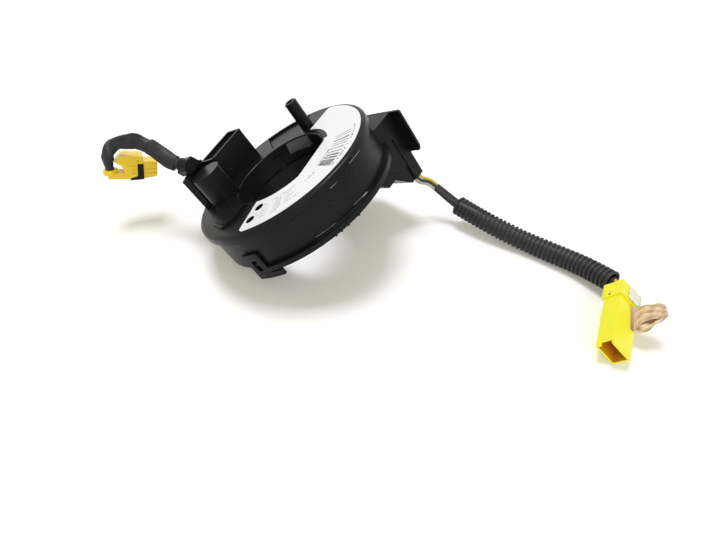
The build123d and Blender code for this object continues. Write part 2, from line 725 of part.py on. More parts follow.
pigtail_radii = run_radii(pigtail_path)
with BuildPart() as pigtail_sleeve:
    with BuildLine():
        FilletPolyline(*pigtail_path, radius=pigtail_radii)
    with BuildSketch(cord_start(pigtail_path)):
        Circle(pigtail_r)
    sweep()
pigtail_sleeve.part.label = "pigtail_sleeve"
export_step(pigtail_sleeve.part, "parts/pigtail_sleeve.step")
cord_report("pigtail_sleeve", pigtail_path, pigtail_radii, pigtail_sleeve.part,
            pi * pigtail_r**2)

with BuildPart() as wire_clamp:
    with BuildSketch(Plane(origin=unit(tower_az) * clamp_back + Vector(0, 0, ring_h),
                           x_dir=unit(tower_az - 90), z_dir=unit(tower_az + 180))):
        with BuildLine():
            Polyline(
                (-tower_left - seat_fit, guard_h), (-tower_left - clamp_bevel, clamp_top),
                (clamp_bevel + clamp_left, clamp_top), (clamp_left, clamp_top - clamp_bevel),
                (clamp_left + 0.4 * clamp_bevel, guard_h), close=True,
            )
        make_face()
    extrude(amount=clamp_d)
    # collar that the lead's sleeve leaves, cut off square to the sleeve
    with BuildSketch(cord_start(pigtail_path)):
        Circle(pigtail_r + boss_wall)
    extrude(amount=-clamp_boss)
    with BuildSketch(cord_start(pigtail_path)):
        Circle(pigtail_r + boss_wall)
    extrude(amount=clamp_boss, mode=Mode.SUBTRACT)
wire_clamp.part.label = "wire_clamp"
export_step(wire_clamp.part, "parts/wire_clamp.step")

# ---- squib plug at the end of the pigtail: nose, cover, black band and locking piece ----
plug_face = Plane(origin=plug_at, x_dir=(plug_cos, 0, -plug_sin), z_dir=(0, -1, 0))
with BuildPart() as squib_plug:
    with BuildSketch(plug_face):
        with BuildLine():
            Polyline((6.9, 3.2), (14.6, 1.9), (13.4, -4.6), (12.8, -6.6), (5.482, -6.6),
                     (6.9, 2.0), close=True)
        make_face()
    extrude(amount=-plug_d)
    with BuildSketch(plug_face):
        with Locations((13.9, -2.0), (13.6, -4.2)):
            Rectangle(14.0, rib_w, rotation=-4)
    extrude(amount=-rib_w, mode=Mode.SUBTRACT)
squib_plug.part.label = "squib_plug"
export_step(squib_plug.part, "parts/squib_plug.step")

with BuildPart() as squib_cover:
    with BuildSketch(plug_face.offset(plug_proud)):
        with BuildLine():
            Polyline((-8.4, 5.2), (-4.2, 8.3), (6.9, 6.1), (6.9, 2.0), (3.7, 2.4),
                     (2.4, -4.6), (-2.0, -5.4), (-2.0, -2.7), (-3.9, -2.37), (-4.9, 2.4),
                     close=True)
        make_face()
    extrude(amount=-plug_d - 2 * plug_proud)
    with BuildSketch(plug_face.offset(plug_proud)):
        with Locations((1.6, 1.4), (1.3, -0.6), (1.0, -2.6)):
            Rectangle(2.6, rib_w)
    extrude(amount=-rib_w, mode=Mode.SUBTRACT)
    with BuildSketch(plug_face.offset(plug_proud)):
        with Locations((4.6, 3.8)):
            Circle(rib_w)
    extrude(amount=-2 * plug_proud, mode=Mode.SUBTRACT)
squib_cover.part.label = "squib_cover"
export_step(squib_cover.part, "parts/squib_cover.step")

with BuildPart() as squib_band:
    with BuildSketch(plug_face.offset(plug_proud)):
        with BuildLine():
            Polyline((3.7, 2.4), (6.9, 2.0), (5.4, -7.1), (-2.0, -6.6), (-2.0, -5.4),
                     (2.4, -4.6), close=True)
        make_face()
    extrude(amount=-plug_d - 2 * plug_proud)
squib_band.part.label = "squib_band"
export_step(squib_band.part, "parts/squib_band.step")

with BuildPart() as squib_lock:
    with BuildSketch(plug_face.offset(-1)):
        with BuildLine():
            Polyline((-13.4, -0.9), (-4.6, -2.25), (-2.0, -2.7), (-2.0, -6.2), (-13.9, -4.4),
                     close=True)
        make_face()
    extrude(amount=-plug_d + 2)
    # collar that the sleeve goes into
    with BuildSketch(cord_end(pigtail_path)):
        Circle(pigtail_r + boss_wall)
    extrude(amount=plug_boot)
squib_lock.part.label = "squib_lock"
export_step(squib_lock.part, "parts/squib_lock.step")

# ---- wires from the rear housing to the wrapped bundle ----
one_wire = unit(box_az) * wire_pitch
wire_paths = {
    "wire_grey": run_from(exit_at, [
        -one_wire, (-1.86, -0.98, -4.7), (3.62, 1.2, -11.7), (4.6, -0.87, -15.56)]),
    "wire_black": run_from(exit_at, [
        (0, 0, 0), (0, 0, -4.5), (5.29, 2.07, -11.7), (6.29, 0, -15.6)]),
    "wire_yellow": run_from(exit_at, [
        one_wire, (1.85, 0.99, -4.1), (6.99, 2.9, -11.8), (7.98, 0.87, -15.64)]),
}
for name, points in wire_paths.items():
    radii = run_radii(points)
    with BuildPart() as wire:
        with BuildLine():
            FilletPolyline(*points, radius=radii)
        with BuildSketch(cord_start(points)):
            Circle(wire_r)
        sweep()
    wire.part.label = name
    export_step(wire.part, "parts/" + name + ".step")
    cord_report(name, points, radii, wire.part, pi * wire_r**2)

# ---- wrapped bundle and the corrugated conduit round it ----
conduit_path = run_from(exit_at, [
    (10.5, -9.0, -30.9), (14.2, -21.7, -38.5), (19.6, -34.0, -48.1), (25.4, -45.3, -56.6),
    (30.6, -57.8, -62.7), (35.5, -70.3, -67.9), (38.0, -82.4, -70.8), (39.1, -91.0, -72.4),
])
bundle_path = (run_from(exit_at, [(6.29, 0, -15.6), (8.19, -4.0, -23.1)])
               + conduit_path[:-1] + run_from(exit_at, [(39.3, -92.5, -72.7)]))
bundle_radii = run_radii(bundle_path)
with BuildPart() as harness_wrap:
    with BuildLine():
        FilletPolyline(*bundle_path, radius=bundle_radii)
    with BuildSketch(cord_start(bundle_path)):
        Circle(wrap_r)
    sweep()
harness_wrap.part.label = "harness_wrap"
export_step(harness_wrap.part, "parts/harness_wrap.step")
cord_report("harness_wrap", bundle_path, bundle_radii, harness_wrap.part, pi * wrap_r**2)

conduit_radii = run_radii(conduit_path)
with BuildPart() as conduit:
    with BuildLine():
        FilletPolyline(*conduit_path, radius=conduit_radii)
    with BuildSketch(cord_start(conduit_path)):
        Circle(conduit_r)
        Circle(conduit_bore, mode=Mode.SUBTRACT)
    sweep()
conduit.part.label = "conduit"
export_step(conduit.part, "parts/conduit.step")
cord_report("conduit", conduit_path, conduit_radii, conduit.part,
            pi * (conduit_r**2 - conduit_bore**2))

# ---- two-way airbag connector at the end of the harness ----
front = Plane(origin=plug_front, x_dir=plug_side, z_dir=plug_axis)
with BuildPart() as airbag_connector:
    with BuildSketch(front):
        Rectangle(plug_w, plug_h)
    extrude(amount=-plug_l)
    with BuildSketch(front.offset(-plug_l)):
        Rectangle(plug_w + 2 * collar_out_t, plug_h + 2 * collar_out_t)
    extrude(amount=collar_l)
    with BuildSketch(front):
        Rectangle(plug_w - 2 * plug_wall, plug_h - 2 * plug_wall)
    extrude(amount=-plug_socket, mode=Mode.SUBTRACT)
    with BuildSketch(front):
        with Locations((key_x, plug_h / 2)):
            Rectangle(key_w, 2 * plug_wall + 0.8)
    extrude(amount=-key_d, mode=Mode.SUBTRACT)
    # opening for the retainer in the side wall
    with BuildSketch(front.offset(-retainer_z)):
        with Locations((-plug_w / 2, 0)):
            Rectangle(2 * retainer_t, plug_h - 4)
    extrude(amount=-retainer_l, mode=Mode.SUBTRACT)
    # contact cavities
    with BuildSketch(front.offset(-plug_socket)):
        with GridLocations(1, contact_pitch, 1, 2):
            Rectangle(contact_w, contact_h)
    extrude(amount=-contact_l, mode=Mode.SUBTRACT)
airbag_connector.part.label = "airbag_connector"
export_step(airbag_connector.part, "parts/airbag_connector.step")

with BuildPart() as connector_retainer:
    with BuildSketch(front.offset(-retainer_z - seat_fit)):
        with Locations(((retainer_t - plug_w) / 2, 0)):
            Rectangle(retainer_t, plug_h - 4 - 2 * seat_fit)
    extrude(amount=-retainer_l + 2 * seat_fit)
connector_retainer.part.label = "connector_retainer"
export_step(connector_retainer.part, "parts/connector_retainer.step")

with BuildPart() as connector_contacts:
    with BuildSketch(front.offset(-plug_socket - contact_l)):
        with GridLocations(1, contact_pitch, 1, 2):
            Rectangle(contact_w - 0.3, contact_h - 0.3)
    extrude(amount=contact_l)
connector_contacts.part.label = "connector_contacts"
export_step(connector_contacts.part, "parts/connector_contacts.step")

# ---- two wires from the bundle into the connector ----
lead_paths = {
    "lead_yellow": run_from(exit_at, [
        (40.4, -92.5, -71.8), (40.8, -95.6, -72.4), (40.2, -102.0, -69.3),
        (37.1, -104.8, -69.0)]),
    "lead_black": run_from(exit_at, [
        (38.2, -92.5, -73.6), (38.5, -95.5, -74.1), (38.3, -100.0, -70.1),
        (35.3, -102.8, -69.8)]),
}
for name, points in lead_paths.items():
    radii = run_radii(points)
    with BuildPart() as lead:
        with BuildLine():
            FilletPolyline(*points, radius=radii)
        with BuildSketch(cord_start(points)):
            Circle(lead_r)
        sweep()
    lead.part.label = name
    export_step(lead.part, "parts/" + name + ".step")
    cord_report(name, points, radii, lead.part, pi * lead_r**2)

# ---- masking tape flag stuck to the connector's side ----
flag_x = plug_w / 2
flag_at = front.from_local_coords((flag_x, 0, -flag_z))
flag_dir = Vector(plug_side) * flag_cos - front.y_dir * flag_sin
with BuildPart() as tape_flag:
    # stuck patch, then the folded flap that stands out from the side
    with BuildSketch(Plane(origin=flag_at, x_dir=plug_axis, z_dir=plug_side)):
        Rectangle(flag_patch_l, flag_patch_w)
    extrude(amount=flag_film)
    with BuildSketch(Plane(origin=flag_at, x_dir=flag_dir,
                           z_dir=flag_dir.cross(-Vector(plug_axis)))):
        with BuildLine():
            Polyline((flag_film, -4), (12, -8), (16, -3), (15, 3), (7, 7), (flag_film, 5),
                     close=True)
        make_face()
    extrude(amount=flag_t / 2, both=True)
    with BuildSketch(front.offset(-plug_l)):
        with Locations((0, 0)):
            Rectangle(plug_w, 2 * plug_h)
    extrude(amount=plug_l, mode=Mode.SUBTRACT)
tape_flag.part.label = "tape_flag"
export_step(tape_flag.part, "parts/tape_flag.step")
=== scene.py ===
import bpy
import bmesh
import math
from mathutils import Matrix, Vector


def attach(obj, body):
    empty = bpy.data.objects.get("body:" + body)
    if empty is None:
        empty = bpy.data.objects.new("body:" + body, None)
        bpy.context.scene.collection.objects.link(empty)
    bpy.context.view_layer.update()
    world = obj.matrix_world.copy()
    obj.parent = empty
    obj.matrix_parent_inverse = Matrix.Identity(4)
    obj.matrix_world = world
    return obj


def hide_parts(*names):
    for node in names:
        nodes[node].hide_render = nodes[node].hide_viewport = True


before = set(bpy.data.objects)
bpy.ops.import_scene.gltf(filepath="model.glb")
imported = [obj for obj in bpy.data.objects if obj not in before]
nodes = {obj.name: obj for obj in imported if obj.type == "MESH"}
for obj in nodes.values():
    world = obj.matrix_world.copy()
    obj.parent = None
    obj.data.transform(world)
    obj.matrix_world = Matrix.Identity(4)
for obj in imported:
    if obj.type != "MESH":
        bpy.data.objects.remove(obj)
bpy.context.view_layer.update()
scene = bpy.context.scene
mm = 0.001

# camera: place, aim and lens
cameraSizes = {
    "place": (0.0, -0.300764, 0.13119),
    "right": (0.787767, -0.330075, -0.520071),
    "down": (-0.615973, -0.421251, -0.665677),
    "ahead": (0.000643, 0.844748, -0.535164),
    "focalPixels": 578.34, "imageWidth": 722, "sensor": 36.0, "clipStart": 0.01,
}


def makeCamera():
    z = cameraSizes
    data = bpy.data.cameras.new("camera")
    data.sensor_width = z["sensor"]
    data.lens = z["focalPixels"] / z["imageWidth"] * z["sensor"]
    data.clip_start = z["clipStart"]
    camera = bpy.data.objects.new("camera", data)
    scene.collection.objects.link(camera)
    right, down, ahead = (Vector(z[k]) for k in ("right", "down", "ahead"))
    turn = Matrix((right, -down, -ahead)).transposed().to_4x4()
    camera.matrix_world = Matrix.Translation(z["place"]) @ turn
    scene.camera = camera
    scene.view_settings.view_transform = "Standard"


makeCamera()


# materials
def newMaterial(name):
    material = bpy.data.materials.new(name)
    material.use_nodes = True
    tree = material.node_tree
    return material, tree.nodes, tree.links, tree.nodes["Principled BSDF"]


def addNode(nodeSet, kind, **values):
    node = nodeSet.new(kind)
    for key, value in values.items():
        node.inputs[key.replace("_", " ")].default_value = value
    return node


def feed(links, slot, value):
    # a socket takes a link, a colour of three numbers, or a plain value
    if isinstance(value, bpy.types.NodeSocket):
        links.new(value, slot)
    elif slot.type == "RGBA":
        slot.default_value = (*value, 1)
    else:
        slot.default_value = value


def mathNode(nodeSet, links, kind, *given):
    node = nodeSet.new("ShaderNodeMath")
    node.operation = kind
    for slot, value in zip(node.inputs, given):
        feed(links, slot, value)
    return node.outputs[0]


def vectorNode(nodeSet, links, kind, *given):
    # a length or a distance
    node = nodeSet.new("ShaderNodeVectorMath")
    node.operation = kind
    for slot, value in zip(node.inputs, given):
        feed(links, slot, value)
    return node.outputs["Value"]


def mixNode(nodeSet, links, share, first, second):
    # the first colour where share is 0, the second where it is 1
    node = nodeSet.new("ShaderNodeMix")
    node.data_type = "RGBA"
    for slot, value in ((0, share), (6, first), (7, second)):
        feed(links, node.inputs[slot], value)
    return node.outputs[2]


def rangeNode(nodeSet, links, value, start, end, low=0.0, high=1.0):
    node = addNode(nodeSet, "ShaderNodeMapRange", From_Min=start, From_Max=end,
                   To_Min=low, To_Max=high)
    links.new(value, node.inputs["Value"])
    return node.outputs["Result"]


def noiseNode(nodeSet, links, place, **values):
    node = addNode(nodeSet, "ShaderNodeTexNoise", **values)
    links.new(place, node.inputs["Vector"])
    return node.outputs["Fac"]


def objectPlace(nodeSet):
    return nodeSet.new("ShaderNodeTexCoord").outputs["Object"]


def overlay(material, share, tone):
    # the material's colour gives way to a tone where share is 1
    nodeSet, links = material.node_tree.nodes, material.node_tree.links
    slot = nodeSet["Principled BSDF"].inputs["Base Color"]
    links.new(mixNode(nodeSet, links, share, slot.links[0].from_socket, tone), slot)


wearSizes = {"stretch": (1.0, 0.25, 2.2), "turn": (0.4, 0.3, 0.9), "detail": 6.0,
             "roughness": 0.7, "edge": 0.07}


def rubbed(nodeSet, links, place, scale, level):
    # 1 in rubbed spots and short scuffs
    z = wearSizes
    stretch = addNode(nodeSet, "ShaderNodeMapping", Scale=z["stretch"], Rotation=z["turn"])
    links.new(place, stretch.inputs["Vector"])
    scuffs = noiseNode(nodeSet, links, stretch.outputs["Vector"], Scale=scale,
                       Detail=z["detail"], Roughness=z["roughness"])
    return rangeNode(nodeSet, links, scuffs, level, level + z["edge"])


# painted highlights on the walls, pale lines that stand in for light caught along edges: angles
# in degrees, heights and half width in millimetres
paintedHighlightSizes = {
    "stator": [(289.0, 300.0, 4.3, 3.7, 0.12), (262.5, 275.8, 4.4, 4.0, 0.1)],
    "rotor": [(283.5, 297.6, 20.0, 19.0, 0.4), (300.0, 311.0, 21.6, 21.2, 0.12)],
    "tone": (0.3, 0.31, 0.3), "breakScale": 420.0, "breakDetail": 2.0, "breakLevel": 0.25,
}


def paintedHighlightLine(nodeSet, links, place, line):
    # 1 on a fine line between two angles round the axis, whose height runs between two: a
    # painted highlight
    def step(kind, *given):
        return mathNode(nodeSet, links, kind, *given)

    z = paintedHighlightSizes
    start, end, first, last, half = line
    parts = nodeSet.new("ShaderNodeSeparateXYZ")
    links.new(place, parts.inputs[0])
    angle = step("ARCTAN2", parts.outputs["Y"], parts.outputs["X"])
    along = step("DIVIDE", step("SUBTRACT", angle, math.radians(start - 360)),
                 math.radians(end - start))
    height = step("MULTIPLY_ADD", along, (last - first) * mm, first * mm)
    apart = step("ABSOLUTE", step("SUBTRACT", parts.outputs["Z"], height))
    inside = step("MULTIPLY", step("GREATER_THAN", along, 0.0), step("LESS_THAN", along, 1.0))
    inside = step("MULTIPLY", inside, step("LESS_THAN", apart, half * mm))
    broken = noiseNode(nodeSet, links, place, Scale=z["breakScale"], Detail=z["breakDetail"])
    return step("MULTIPLY", inside, step("GREATER_THAN", broken, z["breakLevel"]))


grainSizes = {"patchDetail": 5.0, "detail": 3.0, "deep": 0.2}


def speckled(name, dark, light, roughness, grain, relief, patches=60.0, specular=0.5,
             wear=None, lines=()):
    # two close tones in soft patches, with a fine grain
    z = grainSizes
    material, nodeSet, links, shader = newMaterial(name)
    place = objectPlace(nodeSet)
    cloud = noiseNode(nodeSet, links, place, Scale=patches, Detail=z["patchDetail"])
    links.new(mixNode(nodeSet, links, cloud, dark, light), shader.inputs["Base Color"])
    spread = rangeNode(nodeSet, links, cloud, 0.0, 1.0, *roughness)
    links.new(spread, shader.inputs["Roughness"])
    height = noiseNode(nodeSet, links, place, Scale=grain, Detail=z["detail"])
    grains = addNode(nodeSet, "ShaderNodeBump", Strength=relief, Distance=z["deep"] * mm)
    links.new(height, grains.inputs["Height"])
    links.new(grains.outputs["Normal"], shader.inputs["Normal"])
    shader.inputs["Specular IOR Level"].default_value = specular
    if wear:
        overlay(material, rubbed(nodeSet, links, place, wear["scale"], wear["level"]),
                wear["tone"])
    # the lines are pale painted highlights along the walls' edges
    for line in lines:
        overlay(material, paintedHighlightLine(nodeSet, links, place, line), paintedHighlightSizes["tone"])
    return material


# radii in metres and angles in degrees; a row's last number is the pitch of its strokes
labelSizes = {
    "white": (0.86, 0.87, 0.88), "ink": (0.09, 0.09, 0.1), "roughness": 0.3,
    "bars": (0.0367, 0.0463, -65.5, -27.5), "barPitch": 1.0, "barShare": 0.48, "barSeed": 3,
    "rows": [(0.0474, 0.0484, -66.0, -24.0, 1.3), (0.0352, 0.0361, -66.0, -45.0, 1.1),
             (0.0385, 0.0394, -82.0, -72.0, 1.2), (0.0366, 0.0372, -124.0, -92.0, 0.7),
             (0.0386, 0.0392, -123.0, -96.0, 0.7), (0.0406, 0.0412, -125.0, -92.0, 0.7),
             (0.0426, 0.0432, -124.0, -98.0, 0.7), (0.0446, 0.0452, -122.0, -90.0, 0.7),
             (0.0346, 0.0352, -120.0, -88.0, 0.7), (0.0465, 0.0470, -119.0, -104.0, 0.7)],
    "rowShare": 0.52, "rowSeed": 40,
    "wornScale": 260.0, "wornDetail": 4.0, "worn": (0.42, 0.62, 0.75, 1.0),
}


def polarInk(nodeSet, links, polar, area, pitch, share, seed):
    # 1 where a band between two radii and two angles is inked in uneven strokes
    def step(kind, *given):
        return mathNode(nodeSet, links, kind, *given)

    radius, angle = polar
    low, high, start, end = area
    inside = step("MULTIPLY", step("GREATER_THAN", radius, low),
                  step("LESS_THAN", radius, high))
    inside = step("MULTIPLY", inside, step("GREATER_THAN", angle, math.radians(start)))
    inside = step("MULTIPLY", inside, step("LESS_THAN", angle, math.radians(end)))
    strokes = nodeSet.new("ShaderNodeTexWhiteNoise")
    strokes.noise_dimensions = "1D"
    cells = step("FLOOR", step("DIVIDE", angle, math.radians(pitch)))
    links.new(step("ADD", cells, seed), strokes.inputs["W"])
    return step("MULTIPLY", inside, step("LESS_THAN", strokes.outputs["Value"], share))


def printedLabel():
    z = labelSizes
    material, nodeSet, links, shader = newMaterial("labelFilm")
    place = objectPlace(nodeSet)
    parts = nodeSet.new("ShaderNodeSeparateXYZ")
    links.new(place, parts.inputs[0])
    flat = nodeSet.new("ShaderNodeCombineXYZ")
    for name in ("X", "Y"):
        links.new(parts.outputs[name], flat.inputs[name])
    polar = (vectorNode(nodeSet, links, "LENGTH", flat.outputs[0]),
             mathNode(nodeSet, links, "ARCTAN2", parts.outputs["Y"], parts.outputs["X"]))
    ink = polarInk(nodeSet, links, polar, z["bars"], z["barPitch"], z["barShare"], z["barSeed"])
    for seed, (*area, pitch) in enumerate(z["rows"], z["rowSeed"]):
        row = polarInk(nodeSet, links, polar, area, pitch, z["rowShare"], seed)
        ink = mathNode(nodeSet, links, "MAXIMUM", ink, row)
    cloud = noiseNode(nodeSet, links, place, Scale=z["wornScale"], Detail=z["wornDetail"])
    worn = rangeNode(nodeSet, links, cloud, *z["worn"])
    amount = mathNode(nodeSet, links, "MULTIPLY", ink, worn)
    inked = mixNode(nodeSet, links, amount, z["white"], z["ink"])
    links.new(inked, shader.inputs["Base Color"])
    shader.inputs["Roughness"].default_value = z["roughness"]
    return material


# meshes
def paint(mesh, material):
    mesh.materials.clear()
    mesh.materials.append(material)
    for face in mesh.polygons:
        face.material_index = 0


def dress(material, *names):
    for name in names:
        paint(nodes[name].data, material)


def makeMesh(name, points, faces):
    mesh = bpy.data.meshes.new(name)
    mesh.from_pydata(points, [], faces)
    mesh.update()
    return mesh


def finishedMesh(piece):
    # the piece's mesh with its modifiers carried out
    bpy.context.view_layer.update()
    return bpy.data.meshes.new_from_object(
        piece.evaluated_get(bpy.context.evaluated_depsgraph_get()))


def addPiece(name, mesh, material, body=None):
    paint(mesh, material)
    mesh.shade_smooth()
    piece = bpy.data.objects.new(name, mesh)
    scene.collection.objects.link(piece)
    if body:
        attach(piece, body)
    return piece


# distances in metres, angles in degrees
softSizes = {"merge": 0.000002, "flatAngle": 0.6, "sharpAngle": 32, "segments": 2}


def softened(name, body, material, width, inside=None):
    # the same piece with its sharp edges rounded off as moulding leaves them
    z = softSizes
    mesh = nodes[name].data.copy()
    build = bmesh.new()
    build.from_mesh(mesh)
    bmesh.ops.remove_doubles(build, verts=build.verts, dist=z["merge"])
    bmesh.ops.dissolve_limit(build, angle_limit=math.radians(z["flatAngle"]),
                             verts=build.verts, edges=build.edges)
    build.to_mesh(mesh)
    build.free()
    piece = addPiece(name + "Soft", mesh, material)
    edge = piece.modifiers.new("edge", "BEVEL")
    edge.width = width * mm
    edge.segments = z["segments"]
    edge.limit_method = "ANGLE"
    edge.angle_limit = math.radians(z["sharpAngle"])
    piece.modifiers.new("even", "WEIGHTED_NORMAL").keep_sharp = True
    rounded = finishedMesh(piece)
    piece.modifiers.clear()
    piece.data = rounded
    paint(rounded, material)
    if inside:
        other, within = inside
        rounded.materials.append(other)
        for face in rounded.polygons:
            if within(face.center):
                face.material_index = 1
    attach(piece, body)
    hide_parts(name)
    return piece


curveSteps = 24  # points between two controls of a curve


def splinePoints(points, step):
    # even points on the clamped quadratic spline of these control points
    control = [Vector(p) * mm for p in points]
    last = len(control) - 3
    raw = []
    for i in range(last + 1):
        start = control[0] if i == 0 else (control[i] + control[i + 1]) / 2
        middle = control[i + 1]
        end = control[-1] if i == last else (control[i + 1] + control[i + 2]) / 2
        for k in range(0 if i == 0 else 1, curveSteps + 1):
            t = k / curveSteps
            raw.append(start * (1 - t) ** 2 + middle * 2 * t * (1 - t) + end * t * t)
    lengths = [0.0]
    for a, b in zip(raw, raw[1:]):
        lengths.append(lengths[-1] + (b - a).length)
    count = max(2, round(lengths[-1] / (step * mm)))
    even = []
    j = 0
    for i in range(count + 1):
        want = lengths[-1] * i / count
        while j < len(raw) - 2 and lengths[j + 1] < want:
            j += 1
        share = (want - lengths[j]) / (lengths[j + 1] - lengths[j])
        even.append(raw[j].lerp(raw[j + 1], share))
    return even, lengths[-1]


def carriedFrames(centre, first):
    # a side direction carried along the line without turning about it
    found = []
    side = Vector(first)
    for i in range(len(centre)):
        ahead = (centre[min(i + 1, len(centre) - 1)] - centre[max(i - 1, 0)]).normalized()
        side = (side - ahead * side.dot(ahead)).normalized()
        found.append((side.copy(), ahead.cross(side)))
    return found


def sweptMesh(name, centre, first, around, outline):
    # outline(share of the length, angle) gives the two offsets in millimetres
    last = (len(centre) - 1) * around
    points = []
    for i, (place, (side, over)) in enumerate(zip(centre, carriedFrames(centre, first))):
        for k in range(around):
            x, y = outline(i / (len(centre) - 1), 2 * math.pi * k / around)
            points.append(place + side * x * mm + over * y * mm)
    faces = []
    for i in range(0, last, around):
        for k in range(around):
            a, b = i + k, i + (k + 1) % around
            faces.append((a, b, b + around, a + around))
    # both ends are closed
    ends = len(points)
    points += [centre[0], centre[-1]]
    for k in range(around):
        after = (k + 1) % around
        faces += [(ends, after, k), (ends + 1, last + k, last + after)]
    return makeMesh(name, points, faces)


def pipeMesh(name, centre, first, around, outer, inner):
    # a tube with a wall: outside there, inside back
    frames = carriedFrames(centre, first)
    stations = [(i, outer) for i in range(len(centre))]
    stations += [(i, inner) for i in reversed(range(len(centre)))]
    points = []
    for i, radius in stations:
        side, over = frames[i]
        for k in range(around):
            angle = 2 * math.pi * k / around
            out = side * math.cos(angle) + over * math.sin(angle)
            points.append(centre[i] + out * radius * mm)
    faces = []
    for i in range(len(stations)):
        j = (i + 1) % len(stations)
        for k in range(around):
            n = (k + 1) % around
            faces.append((i * around + k, i * around + n, j * around + n, j * around + k))
    return makeMesh(name, points, faces)


def joinMeshes(name, meshes):
    points, faces = [], []
    for mesh in meshes:
        start = len(points)
        points += [v.co.copy() for v in mesh.vertices]
        faces += [[start + i for i in face.vertices] for face in mesh.polygons]
    return makeMesh(name, points, faces)


def bump(value, high, at, width):
    # a smooth rise round one place
    return high * math.exp(-((value - at) / width) ** 2)


def folds(value, depth, count, start):
    # sharp folds that run evenly between half the depth below and above
    return depth * (abs(((value * count + start) % 1) * 2 - 1) - 0.5)


def wave(value, depth, turns, start):
    return depth * math.sin(value * turns + start)


# tones, the roughness range, and the grain's scale and strength
finishes = {
    "blackPlastic": {"dark": (0.0045, 0.0056, 0.0045), "light": (0.0085, 0.0098, 0.0082),
                     "roughness": (0.24, 0.4), "grain": 4200.0, "relief": 0.25,
                     "specular": 0.14, "lines": paintedHighlightSizes["stator"],
                     "wear": {"tone": (0.045, 0.047, 0.042), "scale": 210.0, "level": 0.64}},
    "rotorPlastic": {"dark": (0.0042, 0.0052, 0.0042), "light": (0.0078, 0.009, 0.0075),
                     "roughness": (0.22, 0.38), "grain": 4200.0, "relief": 0.2,
                     "specular": 0.14, "lines": paintedHighlightSizes["rotor"],
                     "wear": {"tone": (0.06, 0.062, 0.056), "scale": 230.0, "level": 0.64}},
    # a lighter copy of the black plastic, painted sheen for the lug's lit faces
    "lugPaintedSheen": {"dark": (0.055, 0.056, 0.05), "light": (0.075, 0.076, 0.07),
                   "roughness": (0.4, 0.55), "grain": 3600.0, "relief": 0.2, "specular": 0.3},
    "palePlastic": {"dark": (0.62, 0.6, 0.54), "light": (0.7, 0.68, 0.62),
                    "roughness": (0.35, 0.45), "grain": 3000.0, "relief": 0.1},
    "ribbonFilm": {"dark": (0.45, 0.3, 0.12), "light": (0.6, 0.42, 0.2),
                   "roughness": (0.2, 0.35), "grain": 800.0, "relief": 0.1},
    "yellowPlastic": {"dark": (0.9, 0.6, 0.004), "light": (0.97, 0.68, 0.012),
                      "roughness": (0.3, 0.42), "grain": 1500.0, "relief": 0.12,
                      "wear": {"tone": (0.42, 0.22, 0.01), "scale": 330.0, "level": 0.63}},
    "orangePlastic": {"dark": (0.74, 0.36, 0.012), "light": (0.82, 0.42, 0.02),
                      "roughness": (0.35, 0.5), "grain": 1500.0, "relief": 0.1},
    "wireYellow": {"dark": (0.75, 0.5, 0.02), "light": (0.82, 0.58, 0.04),
                   "roughness": (0.35, 0.45), "grain": 1500.0, "relief": 0.1},
    "wireBlack": {"dark": (0.02, 0.02, 0.02), "light": (0.03, 0.03, 0.03),
                  "roughness": (0.35, 0.45), "grain": 1500.0, "relief": 0.1},
    "wireGrey": {"dark": (0.4, 0.39, 0.35), "light": (0.5, 0.49, 0.44),
                 "roughness": (0.35, 0.45), "grain": 1500.0, "relief": 0.1},
    "maskingPaper": {"dark": (0.6, 0.4, 0.23), "light": (0.97, 0.84, 0.62),
                     "roughness": (0.6, 0.8), "grain": 1800.0, "relief": 0.8,
                     "patches": 330.0},
    "palePaper": {"dark": (0.84, 0.8, 0.66), "light": (0.93, 0.9, 0.78),
                  "roughness": (0.6, 0.8), "grain": 1800.0, "relief": 0.5, "patches": 330.0},
    "sleeveVinyl": {"dark": (0.009, 0.0092, 0.0084), "light": (0.017, 0.0168, 0.0155),
                    "roughness": (0.36, 0.52), "grain": 2200.0, "relief": 0.25,
                    "patches": 140.0, "specular": 0.3},
    "tapeVinyl": {"dark": (0.009, 0.009, 0.009), "light": (0.018, 0.018, 0.017),
                  "roughness": (0.34, 0.5), "grain": 2600.0, "relief": 0.2,
                  "patches": 140.0, "specular": 0.4},
    "conduitBlack": {"dark": (0.012, 0.012, 0.012), "light": (0.022, 0.022, 0.021),
                     "roughness": (0.4, 0.55), "grain": 3000.0, "relief": 0.2,
                     "specular": 0.4},
    "limeYellow": {"dark": (0.93, 0.88, 0.015), "light": (0.97, 0.94, 0.03),
                   "roughness": (0.3, 0.42), "grain": 1500.0, "relief": 0.12},
}
pinLook = {"Metallic": 1.0, "Base Color": (0.72, 0.66, 0.5, 1), "Roughness": 0.28}
made = {name: speckled(name, **look) for name, look in finishes.items()}
made["labelFilm"] = printedLabel()
made["pinMetal"], _, _, pinShader = newMaterial("pinMetal")
for name, value in pinLook.items():
    pinShader.inputs[name].default_value = value

# nodes shown as they are, by the finish they get
plainNodes = {
    "rotorPlastic": ["rotor_sleeve"],
    "palePlastic": ["stator_terminal", "rotor_terminal"],
    "labelFilm": ["face_label"],
    "ribbonFilm": ["flat_tape"],
    "pinMetal": ["rear_pins", "header_pins", "connector_contacts"],
    "orangePlastic": ["connector_retainer"],
    "wireYellow": ["wire_yellow", "lead_yellow"],
    "wireBlack": ["wire_black", "lead_black"],
    "wireGrey": ["wire_grey"],
}
for name, pieces in plainNodes.items():
    dress(made[name], *pieces)

# how wide the edges are rounded, in millimetres
roundSizes = {"stator": 0.22, "rotor": 0.22, "squib": 0.2, "connector": 0.3}
for name in ("base_cover", "stator_case", "rear_housing", "rear_cover"):
    softened(name, "stator", made["blackPlastic"], roundSizes["stator"])

# the cancelling lug stands into the bore, and its faces get a lighter copy of the black plastic
# as painted sheen: millimetres and degrees
lugSizes = {"radius": 27.2, "low": 18.4, "high": 24.4, "start": 31.5, "end": 66.5}


